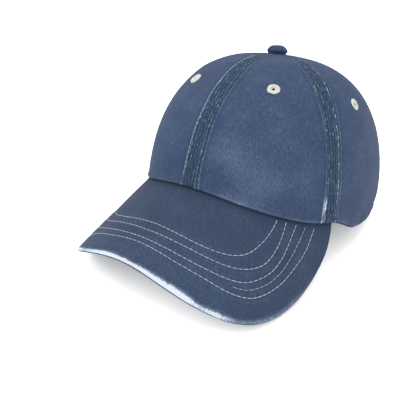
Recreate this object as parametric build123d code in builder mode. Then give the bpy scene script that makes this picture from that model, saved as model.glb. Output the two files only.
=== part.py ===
"""Six-panel baseball cap with a curved visor and an adjustable back strap.

Millimetres. The pieces are drawn in the crown's frame: Z runs up the crown's axis through the top
button, Z = 0 is the plane of the rim, and the visor points along -Y. When the cap stands on a table it
rests on its visor and the back of its rim, so the crown leans back a little, and every piece is turned
by that lean as it is written. Azimuths run from the front, 0, towards the wearer's left, +X.
"""

import os
from math import asin, atan2, cos, degrees, radians, sin, sqrt, tan

from build123d import *

# Crown: outer sizes of the six panels sewn together
FRONT_REACH = 96.0
BACK_REACH = 106.0
HALF_WIDTH = 84.0
CROWN_HEIGHT = 112.0
PLAN_SQUARENESS = 2.2
RIM_PINCH = 0.03
PINCH_SHARE = 0.25
# How each side bends over to the top: (roundness of the rise, squareness of the shoulder)
PROFILES = {"front": (2.4, 2.4), "side": (2.5, 2.9), "back": (2.0, 1.7)}
LEVELS = (-0.06, 0.0, 0.12, 0.25, 0.42, 0.57, 0.70, 0.81, 0.89, 0.95, 0.985, 0.9975)
PLAN_POINTS = 18
SEAM_AZIMUTHS = {"side": 61.0, "back": 122.0}
FAR = 260.0

# Cloth, card and gaps
DENIM = 1.2
STIFFENER = 0.5
TAPE = 0.6
HEM = 1.0
COTTON = 1.2
FOAM = 1.0
LABEL = 0.4
THREAD = 0.25
THREAD_WIDTH = 0.7
SNUG = 0.2

# Seam tapes, hem and sweatband inside the crown
TAPE_WIDTH = 14.0
TAPE_START = 15.0
HEM_DEPTH = 8.0
SWEATBAND_DEPTH = 32.0
FOAM_MARGIN = 3.0
FOAM_AZIMUTH = 56.0
STIFFENER_MARGIN = 1.5
LABEL_WIDTH = 22.0
LABEL_DEPTH = 28.0
TOPSTITCH_OFFSET = 6.0

# Eyelets: (azimuth, share of the crown's height)
EYELETS = {"front": (30.0, 0.835), "side": (86.0, 0.76), "back": (150.0, 0.80)}
EYELET_RADIUS = 4.2
EYELET_NECK = 2.3
EYELET_BORE = 0.8
EYELET_LIP = 0.6

# Button
BUTTON_RADIUS = 7.8
BUTTON_HEIGHT = 6.6
BUTTON_FOOT = 6.2
BUTTON_WAIST = 3.2
BUTTON_CLOTH = 0.8
SHANK_RADIUS = 1.6
WASHER_RADIUS = 5.5
WASHER = 1.0
WASHER_GAP = 1.2

# Visor: a flat board bent round a sloping axis
VISOR_LENGTH = 56.5
VISOR_HALF_WIDTH = HALF_WIDTH - 0.5
VISOR_WIDEST = -51.0
# How far the arch drops from its middle to the corners of the root, and the radius that gives
VISOR_ARCH_DROP = 40.66
VISOR_ARCH_RADIUS = ((0.9214 * HALF_WIDTH) ** 2 + VISOR_ARCH_DROP**2) / (2 * VISOR_ARCH_DROP)
VISOR_SLOPE = 28.0
VISOR_ROOT_HEIGHT = 28.4
VISOR_CORNER_AZIMUTH = 63.0
VISOR_SIDE_SQUARENESS = 3.0
VISOR_FRONT_SQUARENESS = 3.3
VISOR_CLOTH = 0.7
VISOR_BOARD = 1.6
BOARD_MARGIN = 2.5
VISOR_TUCK = DENIM + HEM + 0.1
# Stitch rows: (distance in from the front edge, distance in from the side edge)
STITCH_ROWS = ((15.2, 7.3), (18.8, 13.0), (24.7, 17.3), (28.6, 24.0))
# Each row is three runs of thread: one along the front and one round each corner
STITCH_CORNER = 40.0

# Back opening, strap and pocket
OPENING_HALF_WIDTH = 36.0
OPENING_HEIGHT = 50.0
BINDING = 0.6
BINDING_WIDTH = 8.0
STRAP_WIDTH = 20.0
STRAP = 1.6
STRAP_LOW = 5.0
STRAP_ARC_RADIUS = HALF_WIDTH - 8.0
STRAP_REACH = 70.0
STRAP_CLEARANCE = 1.1
STRAP_ANGLES = (-55.0, 45.0)
STUB_PLY = 1.1
STUB_END = 62.0

# Buckle, in degrees along the strap and millimetres across it
BUCKLE_PLATE = 1.0
BUCKLE_ANGLES = (-2.0, 18.0)
WINDOW_ANGLES = (12.4, 15.6)
ANVIL_ANGLES = (0.4, 3.6)
EAR_ANGLES = (-1.2, 5.2)
EAR = 1.0
PIN_ANGLE = 2.0
PIN_RADIUS = 1.0
PIN_RISE = 2.7
PIN_HEAD = 1.5
RUNNING = 0.05
LEVER_BARREL = 2.1
LEVER_PLATE = 1.1
LEVER_ANGLES = (2.0, 16.0)
PLAY = 0.3


def taper(side, share):
    """How much of the base size is left at this share of the height."""
    rise, shoulder = PROFILES[side]
    pinch = 1 - RIM_PINCH * max(0.0, 1 - share / PINCH_SHARE) ** 2
    return pinch * (1 - max(share, 0.0) ** rise) ** (1 / shoulder)


def crown_point(azimuth, height, inset=(0.0, 0.0, 0.0)):
    """Where the crown's face, drawn in by inset at the front, side and back, stands in plan."""
    front, side, back = inset
    share = min(height / (CROWN_HEIGHT - min(inset)), 0.9999)
    forward, across = cos(radians(azimuth)), sin(radians(azimuth))
    if forward > 0:
        along = (FRONT_REACH - front) * taper("front", share)
    else:
        along = (BACK_REACH - back) * taper("back", share)
    half = (HALF_WIDTH - side) * taper("side", share)
    n = PLAN_SQUARENESS
    reach = ((abs(forward) / along) ** n + (abs(across) / half) ** n) ** (-1 / n)
    return reach * across, -reach * forward


def all_round(inset):
    return (inset, inset, inset)


def crown_form(inset):
    """The solid dome inside a face of the crown, open to cutting at the rim."""
    top = CROWN_HEIGHT - min(inset)
    with BuildPart() as form:
        for share in LEVELS:
            with BuildSketch(Plane.XY.offset(share * top)):
                with BuildLine():
                    turns = [360 * i / PLAN_POINTS for i in range(PLAN_POINTS)]
                    Spline(*[crown_point(a, share * top, inset) for a in turns], periodic=True)
                make_face()
        loft()
    return form.part


def layer(outer, inner):
    """The skin between two faces of the crown."""
    with BuildPart() as skin:
        add(crown_form(outer))
        add(crown_form(inner), mode=Mode.SUBTRACT)
    return skin.part


def sector(start, end):
    """Everything between two azimuths."""
    turns = (start, (start + end) / 2, end)
    corners = [(FAR * sin(radians(a)), -FAR * cos(radians(a))) for a in turns]
    with BuildPart() as wedge:
        with BuildSketch(Plane.XY.offset(-FAR)):
            with BuildLine():
                Polyline((0, 0), *corners, close=True)
            make_face()
        extrude(amount=2 * FAR)
    return wedge.part


def slab(azimuth, half_width, start=0.0, offset=0.0):
    """A board standing along one azimuth, beginning a little way out from the crown's axis."""
    outward = (sin(radians(azimuth)), -cos(radians(azimuth)), 0)
    plane = Plane(origin=(0, 0, 0), x_dir=outward, z_dir=(0, 0, 1))
    with BuildPart() as board:
        with BuildSketch(plane.offset(-FAR)):
            with Locations((start + FAR / 2, offset)):
                Rectangle(FAR, 2 * half_width)
        extrude(amount=2 * FAR)
    return board.part


VISOR_AXIS = (0, -cos(radians(VISOR_SLOPE)), -sin(radians(VISOR_SLOPE)))
VISOR_PLANE = Plane(origin=(0, -FRONT_REACH, VISOR_ROOT_HEIGHT), x_dir=(1, 0, 0), z_dir=VISOR_AXIS)


def visor_height(x, y, depth=0.0):
    """Height of the visor's top face, or of a face that lies depth below it."""
    drop = VISOR_ARCH_RADIUS - sqrt((VISOR_ARCH_RADIUS - depth) ** 2 - x**2)
    slope = radians(VISOR_SLOPE)
    return VISOR_ROOT_HEIGHT - tan(slope) * (-FRONT_REACH - y) - drop / cos(slope)


def visor_corner():
    """Where the visor's root meets the rim on the wearer's left."""
    height = 0.0
    for _ in range(8):
        x, y = crown_point(VISOR_CORNER_AZIMUTH, height)
        height = visor_height(x, y)
    return x, y, height


CORNER_X, CORNER_Y, CORNER_Z = visor_corner()


def edge_margins(depth, margin=0.0):
    """Margins in plan that keep the visor's edge square to its faces at this depth."""
    front = margin + depth * sin(radians(VISOR_SLOPE))
    side = margin + depth * VISOR_HALF_WIDTH / VISOR_ARCH_RADIUS
    return front, side


def visor_edge_point(turn, front_margin, side_margin):
    """A point on the visor's edge in plan; turn runs from 0 at its widest to 90 at its front."""
    half = VISOR_HALF_WIDTH - side_margin
    length = VISOR_LENGTH + FRONT_REACH + VISOR_WIDEST - front_margin
    across = half * cos(radians(turn)) ** (2 / VISOR_SIDE_SQUARENESS)
    along = length * sin(radians(turn)) ** (2 / VISOR_FRONT_SQUARENESS)
    return across, VISOR_WIDEST - along


def visor_outline(front_margin, side_margin):
    """Half of the visor's edge in plan, from the corner of its root to the middle of its front."""
    turns = (12, 24, 36, 48, 58, 68, 79, 90)
    rounded = [visor_edge_point(a, front_margin, side_margin) for a in turns]
    return [(CORNER_X - side_margin, CORNER_Y)] + rounded


def visor_plan(front_margin, side_margin):
    """The area inside the visor's edge, drawn in by the margins."""
    with BuildSketch() as plan:
        with BuildLine():
            left = Spline(*visor_outline(front_margin, side_margin), tangents=[(0.35, -1), (-1, 0)])
            Line(left @ 0, (0, CORNER_Y))
            mirror(about=Plane.YZ)
        make_face()
    return plan.sketch


def resting_lean():
    """How far the crown leans back when it stands on the visor's lower edge and the back of the rim."""
    depth = 2 * VISOR_CLOTH + VISOR_BOARD
    back = crown_point(180 - degrees(asin(OPENING_HALF_WIDTH / BACK_REACH)), 0)[1]
    leans = []
    for turn in range(2, 90, 2):
        x, y = visor_edge_point(turn, *edge_margins(depth - VISOR_CLOTH))
        leans.append(atan2(-visor_height(x, y, depth), back - y))
    return degrees(max(leans))


def visor_form(depth):
    """Everything under a face of the visor that lies depth below its top, as far back as its corners."""
    with BuildPart() as form:
        with BuildSketch(VISOR_PLANE):
            with Locations((0, -VISOR_ARCH_RADIUS)):
                Circle(VISOR_ARCH_RADIUS - depth)
        extrude(amount=FAR / 2, both=True)
        with Locations((0, CORNER_Y, 0)):
            Box(4 * FAR, FAR, 2 * FAR, align=(Align.CENTER, Align.MAX, Align.CENTER), mode=Mode.INTERSECT)
    return form.part


def visor_skin(upper, lower):
    """The bent sheet between two depths of the visor, as far back as its corners."""
    centre = (0, -VISOR_ARCH_RADIUS)
    with BuildPart() as skin:
        with BuildSketch(VISOR_PLANE):
            with BuildLine():
                over = CenterArc(centre, VISOR_ARCH_RADIUS - upper, 15, 150)
                under = CenterArc(centre, VISOR_ARCH_RADIUS - lower, 15, 150)
                Line(over @ 0, under @ 0)
                Line(over @ 1, under @ 1)
            make_face()
        extrude(amount=FAR / 2, both=True)
        with Locations((0, CORNER_Y, 0)):
            Box(4 * FAR, FAR, 2 * FAR, align=(Align.CENTER, Align.MAX, Align.CENTER), mode=Mode.INTERSECT)
    return skin.part


def rim_waste():
    """Everything below the rim, which climbs from the flat back towards the visor's corners."""
    with BuildPart() as waste:
        with BuildSketch(Plane.YZ):
            with BuildLine():
                rise = Spline((0, 0), (CORNER_Y, CORNER_Z), tangents=[(-1, 0), (-1, 0.3)])
                Polyline(rise @ 1, (-FAR, CORNER_Z), (-FAR, -FAR), (FAR, -FAR), (FAR, 0), rise @ 0)
            make_face()
        extrude(amount=FAR, both=True)
    return waste.part


def below_rim(depth=0.0, lift=0.0):
    with BuildPart() as below:
        add(rim_waste())
        add(visor_form(depth))
    return Pos(0, 0, lift) * below.part


def arch(grow):
    """The back opening as a prism, with its edge moved outwards by grow."""
    half = OPENING_HALF_WIDTH + grow
    top = OPENING_HEIGHT + grow
    shoulder = top - half
    with BuildPart() as prism:
        with BuildSketch(Plane.XZ):
            with BuildLine():
                arc = CenterArc((0, shoulder), half, 0, 180)
                Polyline(arc @ 1, (-half, -FAR), (half, -FAR), arc @ 0)
            make_face()
        extrude(amount=-FAR)
    return prism.part


RESTING_LEAN = resting_lean()
BELOW = below_rim()
OPENING = arch(0)


def crown_plane(azimuth, share):
    """A plane on the crown's outer face, looking outwards."""
    height = share * CROWN_HEIGHT
    step = 0.5
    here = Vector(*crown_point(azimuth, height), height)
    beside = Vector(*crown_point(azimuth + step, height), height)
    above = Vector(*crown_point(azimuth, height + step), height + step)
    outward = (beside - here).cross(above - here).normalized()
    return Plane(origin=here, z_dir=outward)


def eyelet_places():
    places = {}
    for row, (azimuth, share) in EYELETS.items():
        places[f"{row}_left"] = crown_plane(azimuth, share)
        places[f"{row}_right"] = crown_plane(-azimuth, share)
    return places


PLACES = eyelet_places()


def bored(piece, radius, places):
    """The piece with a hole through it at each eyelet."""
    with BuildPart() as result:
        add(piece)
        for place in places:
            with BuildSketch(place.offset(-3 * EYELET_RADIUS)):
                Circle(radius)
            extrude(amount=6 * EYELET_RADIUS, mode=Mode.SUBTRACT)
    return result.part


PIECES = {}


def keep(name, part):
    """Turns a piece to the cap's resting position, labels it and writes it."""
    piece = Rot(X=-RESTING_LEAN) * part
    piece.label = name
    PIECES[name] = piece
    export_step(piece, f"parts/{name}.step")


def make_panels():
    """Six denim gores that meet at the seams and under the button."""
    skin = layer(all_round(0.0), all_round(DENIM))
    side, back = SEAM_AZIMUTHS["side"], SEAM_AZIMUTHS["back"]
    sectors = {
        "front_left": (0, side),
        "side_left": (side, back),
        "back_left": (back, 180),
        "front_right": (-side, 0),
        "side_right": (-back, -side),
        "back_right": (-180, -back),
    }
    panels = {}
    for name, (start, end) in sectors.items():
        with BuildPart() as panel:
            add(skin)
            add(sector(start, end), mode=Mode.INTERSECT)
            add(BELOW, mode=Mode.SUBTRACT)
            add(OPENING, mode=Mode.SUBTRACT)
            Cylinder(SHANK_RADIUS + SNUG, 3 * CROWN_HEIGHT, mode=Mode.SUBTRACT)
        panels[name] = bored(panel.part, EYELET_NECK, [PLACES[name]])
        keep(f"panel_{name}", panels[name])
    return panels


def make_eyelets():
    """Thread worked round each hole: a neck through the denim with a lip on both faces."""
    curve = 0.2
    outside = curve + EYELET_LIP
    inside = -DENIM - STIFFENER - 2 * curve - EYELET_LIP
    for name, place in PLACES.items():
        with BuildPart() as eyelet:
            with BuildSketch(place.offset(inside)):
                Circle(EYELET_NECK)
            extrude(amount=outside - inside)
            with BuildSketch(place.offset(curve)):
                Circle(EYELET_RADIUS)
            extrude(amount=EYELET_LIP)
            with BuildSketch(place.offset(inside)):
                Circle(EYELET_RADIUS)
            extrude(amount=EYELET_LIP)
            rounded = eyelet.edges().filter_by(GeomType.CIRCLE).group_by(SortBy.RADIUS)[-1]
            fillet(rounded, EYELET_LIP / 3)
            with BuildSketch(place.offset(inside)):
                Circle(EYELET_BORE)
            extrude(amount=outside - inside, mode=Mode.SUBTRACT)
        keep(f"eyelet_{name}", eyelet.part)


def make_stiffeners():
    """Two pieces of stiff net fused behind the front panels, stopping short of the seam tapes."""
    skin = layer(all_round(DENIM), all_round(DENIM + STIFFENER))
    margin = TAPE_WIDTH / 2 + STIFFENER_MARGIN
    hem = below_rim(lift=HEM_DEPTH + STIFFENER_MARGIN)
    for name, sign in (("left", 1), ("right", -1)):
        edges = (0, sign * SEAM_AZIMUTHS["side"])
        with BuildPart() as net:
            add(skin)
            add(sector(min(edges), max(edges)), mode=Mode.INTERSECT)
            for azimuth in edges:
                add(slab(azimuth, margin), mode=Mode.SUBTRACT)
            Cylinder(TAPE_START, 3 * CROWN_HEIGHT, mode=Mode.SUBTRACT)
            add(hem, mode=Mode.SUBTRACT)
        clear = EYELET_RADIUS + STIFFENER_MARGIN
        keep(f"front_stiffener_{name}", bored(net.part, clear, [PLACES[f"front_{name}"]]))


def make_tapes():
    """One long tape from front to back over the top, and four short ones down the other seams."""
    skin = layer(all_round(DENIM), all_round(DENIM + TAPE))
    hem = below_rim(lift=HEM_DEPTH + SNUG)
    with BuildPart() as centre:
        add(skin)
        Box(TAPE_WIDTH, 4 * FAR, 4 * FAR, mode=Mode.INTERSECT)
        add(hem, mode=Mode.SUBTRACT)
        add(arch(BINDING_WIDTH + SNUG), mode=Mode.SUBTRACT)
        Cylinder(SHANK_RADIUS + SNUG, 3 * CROWN_HEIGHT, mode=Mode.SUBTRACT)
    keep("seam_tape_centre", centre.part)
    for row, azimuth in SEAM_AZIMUTHS.items():
        for name, sign in (("left", 1), ("right", -1)):
            with BuildPart() as tape:
                add(skin)
                add(slab(sign * azimuth, TAPE_WIDTH / 2, TAPE_START), mode=Mode.INTERSECT)
                add(hem, mode=Mode.SUBTRACT)
            keep(f"seam_tape_{row}_{name}", tape.part)


def make_hem():
    """The turned-in edge of the crown, from one strap pocket round the front to the other."""
    with BuildPart() as hem:
        add(layer(all_round(DENIM), all_round(DENIM + HEM)))
        add(below_rim(lift=HEM_DEPTH), mode=Mode.INTERSECT)
        add(BELOW, mode=Mode.SUBTRACT)
        with Locations((0, HEM_BACK, 0)):
            Box(4 * FAR, FAR, 4 * FAR, align=(Align.CENTER, Align.MIN, Align.CENTER), mode=Mode.SUBTRACT)
    keep("rim_hem", hem.part)


def band_inset(depth):
    """The sweatband lies close at the front and leaves room for the strap at the back."""
    return (
        DENIM + HEM + SNUG + FOAM + SNUG + depth,
        (DENIM + HEM + FOAM + POCKET_DEPTH) / 2 + FOAM + depth,
        POCKET_DEPTH + depth,
    )


def make_sweatband():
    """Cotton band round the inside of the rim, open behind, with a foam strip behind its front."""
    lower = below_rim(depth=2 * VISOR_CLOTH + VISOR_BOARD)
    with BuildPart() as band:
        add(layer(band_inset(0.0), band_inset(COTTON)))
        add(below_rim(lift=SWEATBAND_DEPTH), mode=Mode.INTERSECT)
        add(lower, mode=Mode.SUBTRACT)
        behind = (Align.CENTER, Align.MIN, Align.CENTER)
        Box(2 * OPENING_HALF_WIDTH, FAR, FAR, align=behind, mode=Mode.SUBTRACT)
    keep("sweatband", band.part)
    with BuildPart() as foam:
        add(layer(band_inset(-SNUG - FOAM), band_inset(-SNUG)))
        add(sector(-FOAM_AZIMUTH, FOAM_AZIMUTH), mode=Mode.INTERSECT)
        add(below_rim(lift=SWEATBAND_DEPTH - FOAM_MARGIN), mode=Mode.INTERSECT)
        add(below_rim(lift=FOAM_MARGIN), mode=Mode.SUBTRACT)
    keep("sweatband_foam", foam.part)


def make_label():
    """A blank woven care label on the inside of the left side panel, above the sweatband."""
    azimuth = (SEAM_AZIMUTHS["side"] + SEAM_AZIMUTHS["back"]) / 2
    low = SWEATBAND_DEPTH + FOAM_MARGIN
    with BuildPart() as label:
        add(layer(all_round(DENIM + SNUG), all_round(DENIM + SNUG + LABEL)))
        add(slab(azimuth, LABEL_WIDTH / 2), mode=Mode.INTERSECT)
        with Locations((0, 0, low)):
            upwards = (Align.CENTER, Align.CENTER, Align.MIN)
            Box(4 * FAR, 4 * FAR, LABEL_DEPTH, align=upwards, mode=Mode.INTERSECT)
    keep("care_label", label.part)


def make_button():
    """A metal cap covered in denim, with a shank through the crown, and the washer it clinches on."""
    base = CROWN_HEIGHT
    under = BUTTON_FOOT - SHANK_RADIUS

    def half_profile(shrink):
        foot = shrink / 2
        with BuildLine() as line:
            dome = ThreePointArc(
                (0, BUTTON_HEIGHT - shrink),
                ((BUTTON_RADIUS - shrink) * 0.74, (BUTTON_HEIGHT - shrink) * 0.84),
                (BUTTON_RADIUS - shrink, BUTTON_WAIST),
            )
            Polyline(dome @ 1, (BUTTON_FOOT - shrink, foot), (0, foot), dome @ 0)
        return line.line

    with BuildPart() as cap:
        with BuildSketch(Plane.XZ.offset(0)):
            with BuildLine():
                add(half_profile(BUTTON_CLOTH))
            make_face()
        revolve(axis=Axis.Z)
        shank = WASHER + DENIM + TAPE + WASHER_GAP + SNUG + BUTTON_CLOTH
        with Locations((0, 0, BUTTON_CLOTH)):
            Cylinder(SHANK_RADIUS, shank, align=(Align.CENTER, Align.CENTER, Align.MAX))
    with BuildPart() as cover:
        with BuildSketch(Plane.XZ):
            with BuildLine():
                add(half_profile(0))
            make_face()
        revolve(axis=Axis.Z)
        add(cap.part, mode=Mode.SUBTRACT)
        Cylinder(BUTTON_FOOT - under / 2, BUTTON_WAIST, mode=Mode.SUBTRACT)
    with BuildPart() as washer:
        with Locations((0, 0, -DENIM - TAPE - WASHER_GAP)):
            Cylinder(WASHER_RADIUS, WASHER, align=(Align.CENTER, Align.CENTER, Align.MAX))
            Cylinder(SHANK_RADIUS + RUNNING, 3 * WASHER, mode=Mode.SUBTRACT)
        circles = washer.edges().group_by(Axis.Z)[0].filter_by(GeomType.CIRCLE)
        fillet(circles.sort_by(SortBy.RADIUS)[-1], WASHER / 2)
    keep("button_cap", Pos(0, 0, base) * cap.part)
    keep("button_cover", Pos(0, 0, base) * cover.part)
    keep("button_washer", Pos(0, 0, base) * washer.part)


def make_visor():
    """A bent board between two pieces of denim, with rows of stitching round it."""
    layers = {
        "visor_top_cover": (0.0, VISOR_CLOTH, 0.0),
        "visor_board": (VISOR_CLOTH, VISOR_CLOTH + VISOR_BOARD, BOARD_MARGIN),
        "visor_bottom_cover": (VISOR_CLOTH + VISOR_BOARD, 2 * VISOR_CLOTH + VISOR_BOARD, 0.0),
    }
    tuck = crown_form(all_round(VISOR_TUCK))
    for name, (upper, lower, margin) in layers.items():
        with BuildPart() as cover:
            with BuildSketch(Plane.XY.offset(-FAR)):
                add(visor_plan(*edge_margins(upper, margin)))
            extrude(amount=2 * FAR)
            add(visor_skin(upper, lower), mode=Mode.INTERSECT)
            add(tuck, mode=Mode.SUBTRACT)
            drop_inner_solids(cover)
        keep(name, cover.part)
    outside = crown_form(all_round(-SNUG))
    runs = ((-2 * STITCH_CORNER, STITCH_CORNER), (0, STITCH_CORNER), (2 * STITCH_CORNER, STITCH_CORNER))
    with BuildPart() as rows:
        for front, side in STITCH_ROWS:
            for middle, half_length in runs:
                add(visor_row(front, side, middle, half_length, outside))
    keep("visor_stitching", rows.part)


def visor_row(front, side, middle, half_length, outside):
    """One run of a row of thread on the visor's top, ending at the crown."""
    with BuildPart() as row:
        with BuildSketch(Plane.XY.offset(-FAR / 4)):
            add(visor_plan(front, side))
            add(visor_plan(front + THREAD_WIDTH, side + THREAD_WIDTH), mode=Mode.SUBTRACT)
            with Locations((middle, 0)):
                Rectangle(2 * half_length, 2 * FAR, mode=Mode.INTERSECT)
        extrude(amount=FAR)
        add(visor_skin(-THREAD, 0.0), mode=Mode.INTERSECT)
        add(outside, mode=Mode.SUBTRACT)
    return row.part


def drop_inner_solids(builder):
    """Leaves only the solids in front of the crown."""
    inner = [s for s in builder.part.solids() if s.center().Y > CORNER_Y - 1 or s.center().Z < -FAR / 4]
    for solid in inner:
        add(solid, mode=Mode.SUBTRACT)


def make_topstitching():
    """Two rows of thread down each crown seam."""
    skin = layer(all_round(-THREAD), all_round(0.0))
    seams = [0, 180]
    for azimuth in SEAM_AZIMUTHS.values():
        seams += [azimuth, -azimuth]
    with BuildPart() as tracks:
        for azimuth in seams:
            for side in (-TOPSTITCH_OFFSET, TOPSTITCH_OFFSET):
                add(slab(azimuth, THREAD_WIDTH / 2, TAPE_START, side))
    with BuildPart() as thread:
        add(skin)
        add(tracks.part, mode=Mode.INTERSECT)
        add(BELOW, mode=Mode.SUBTRACT)
        add(arch(BINDING_WIDTH + SNUG), mode=Mode.SUBTRACT)
    keep("crown_stitching", thread.part)


def make_binding(panels):
    """A strip folded over the edge of the back opening."""
    with BuildPart() as binding:
        add(layer(all_round(-BINDING), all_round(DENIM + BINDING)))
        add(arch(BINDING_WIDTH), mode=Mode.INTERSECT)
        add(arch(-BINDING), mode=Mode.SUBTRACT)
        add(BELOW, mode=Mode.SUBTRACT)
        for name in ("back_left", "back_right"):
            add(panels[name], mode=Mode.SUBTRACT)
        Box(FAR, FAR, FAR, align=(Align.CENTER, Align.MIN, Align.MIN), mode=Mode.INTERSECT)
    keep("opening_binding", binding.part)


def strap_centre():
    """How far back the middle of the strap's arc can stand and still clear the crown's wall."""
    room = DENIM + STRAP_CLEARANCE
    gaps = []
    for azimuth in range(180, 100, -4):
        for height in (STRAP_LOW, STRAP_LOW + STRAP_WIDTH):
            x, y = crown_point(azimuth, height, all_round(room))
            if abs(x) < STRAP_ARC_RADIUS * sin(radians(STRAP_REACH)):
                gaps.append(y - sqrt(STRAP_ARC_RADIUS**2 - x**2))
    return min(gaps)


STRAP_Y = strap_centre()
POCKET_DEPTH = DENIM + STRAP_CLEARANCE + STRAP + STUB_PLY + 6 * PLAY + BACK_REACH * RIM_PINCH / 2
HEM_BACK = STRAP_Y + STRAP_ARC_RADIUS * cos(radians(STRAP_REACH + 8))


def ring_piece(inner, outer, angles, low, high):
    """A curved bar round the strap's axis, from one angle to another and one height to another."""
    start, end = angles
    with BuildPart() as bar:
        with BuildSketch(Plane.XY.offset(low)):
            with BuildLine():
                near = CenterArc((0, STRAP_Y), STRAP_ARC_RADIUS + inner, 90 - end, end - start)
                far = CenterArc((0, STRAP_Y), STRAP_ARC_RADIUS + outer, 90 - end, end - start)
                Line(near @ 0, far @ 0)
                Line(near @ 1, far @ 1)
            make_face()
        extrude(amount=high - low)
    return bar.part


def at_angle(angle, rise):
    """A point above the strap's outer face, in plan."""
    reach = STRAP_ARC_RADIUS + rise
    return reach * sin(radians(angle)), STRAP_Y + reach * cos(radians(angle))


STRAP_HIGH = STRAP_LOW + STRAP_WIDTH
EAR_LOW = STRAP_LOW - PLAY - EAR
EAR_HIGH = STRAP_HIGH + PLAY + EAR
BASE_TOP = -STRAP - PLAY - STUB_PLY - PLAY
BASE_BOTTOM = BASE_TOP - BUCKLE_PLATE
ANVIL_TOP = -STRAP - PLAY


def make_strap():
    """Two plies of denim with a rounded tail. Its sewn end lies in the right-hand pocket."""
    with BuildPart() as strap:
        add(ring_piece(-STRAP, 0, STRAP_ANGLES, STRAP_LOW, STRAP_HIGH))
        tail = strap.edges().filter_by(lambda e: e.length < 2 * STRAP and e.center().X > 0)
        fillet(tail, STRAP_WIDTH / 4)
    keep("adjuster_strap", strap.part)


def make_stub():
    """The short strap that holds the buckle: round the buckle's bar, and into the left-hand pocket."""
    ply_top = -STRAP - PLAY
    ply_bottom = ply_top - STUB_PLY
    return_top = BASE_BOTTOM - PLAY / 2
    fold = (WINDOW_ANGLES[1] - 1.2, WINDOW_ANGLES[1] - 0.25)
    bar_end = BUCKLE_ANGLES[1] + 0.5
    stitched = degrees(asin(OPENING_HALF_WIDTH / STRAP_ARC_RADIUS)) - 1.5
    low, high = STRAP_LOW + PLAY, STRAP_HIGH - PLAY
    with BuildPart() as stub:
        add(ring_piece(ply_bottom, ply_top, (fold[0], STUB_END), low, high))
        add(ring_piece(return_top - STUB_PLY, ply_top, fold, low, high))
        add(ring_piece(return_top - STUB_PLY, return_top, (fold[0], stitched), low, high))
        add(ring_piece(return_top - STUB_PLY, ply_top, (bar_end, stitched), low, high))
    keep("buckle_tab", stub.part)


def make_buckle():
    """Base with a window for the tab and an anvil under the strap, a lever with a cam, and its pin."""
    pin_x, pin_y = at_angle(PIN_ANGLE, PIN_RISE)
    with BuildPart() as base:
        add(ring_piece(BASE_BOTTOM, BASE_TOP, BUCKLE_ANGLES, EAR_LOW, EAR_HIGH))
        add(ring_piece(BASE_BOTTOM, ANVIL_TOP, ANVIL_ANGLES, EAR_LOW, EAR_HIGH))
        window = ring_piece(2 * BASE_BOTTOM, 0, WINDOW_ANGLES, STRAP_LOW - PLAY / 2, STRAP_HIGH + PLAY / 2)
        add(window, mode=Mode.SUBTRACT)
        for low in (EAR_LOW, EAR_HIGH - EAR):
            add(ring_piece(BASE_BOTTOM, PIN_RISE + PIN_RADIUS + EAR, EAR_ANGLES, low, low + EAR))
        fillet(base.edges().filter_by(Axis.Z).filter_by(lambda e: abs(e.length - EAR) < 0.01), EAR)
        with Locations((pin_x, pin_y, 0)):
            Cylinder(PIN_RADIUS, 4 * STRAP_WIDTH, mode=Mode.SUBTRACT)
    keep("buckle_base", base.part)
    with BuildPart() as pin:
        with Locations((pin_x, pin_y, EAR_LOW)):
            Cylinder(PIN_RADIUS, EAR_HIGH - EAR_LOW, align=(Align.CENTER, Align.CENTER, Align.MIN))
        with Locations((pin_x, pin_y, EAR_LOW), (pin_x, pin_y, EAR_HIGH + PIN_HEAD / 2)):
            Cylinder(PIN_HEAD, PIN_HEAD / 2, align=(Align.CENTER, Align.CENTER, Align.MAX))
    keep("buckle_pin", pin.part)
    lever_low = EAR_LOW + EAR + PLAY / 2
    lever_high = EAR_HIGH - EAR - PLAY / 2
    plate_low = PIN_RISE - LEVER_PLATE / 2
    with BuildPart() as lever:
        with Locations((pin_x, pin_y, lever_low)):
            Cylinder(LEVER_BARREL, lever_high - lever_low, align=(Align.CENTER, Align.CENTER, Align.MIN))
        add(ring_piece(plate_low, plate_low + LEVER_PLATE, LEVER_ANGLES, lever_low, lever_high))
        short = lever.edges().filter_by(lambda e: e.length < 1.5 * LEVER_PLATE)
        corners = short.filter_by(lambda e: e.center().X > pin_x + LEVER_BARREL)
        fillet(corners, STRAP_WIDTH / 5)
        with Locations((pin_x, pin_y, 0)):
            Cylinder(PIN_RADIUS + RUNNING, 4 * STRAP_WIDTH, mode=Mode.SUBTRACT)
    keep("buckle_lever", lever.part)


def main():
    os.makedirs("parts", exist_ok=True)
    panels = make_panels()
    make_eyelets()
    make_stiffeners()
    make_tapes()
    make_hem()
    make_sweatband()
    make_label()
    make_button()
    make_visor()
    make_topstitching()
    make_binding(panels)
    make_strap()
    make_stub()
    make_buckle()
    whole = Compound(children=list(PIECES.values())).bounding_box()
    print("pieces", len(PIECES), "size", whole.size, "lowest", round(whole.min.Z, 3))
    print("lean", round(RESTING_LEAN, 4), "strap axis", round(STRAP_Y, 4), "visor corner", visor_corner())


main()
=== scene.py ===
"""Looks of a six-panel denim baseball cap: cloth, thread, button, visor, strap and buckle, in metres."""

from math import cos, pi, radians, sin, tan

import bmesh
import bpy
import numpy as np
from mathutils import Matrix, Vector


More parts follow.
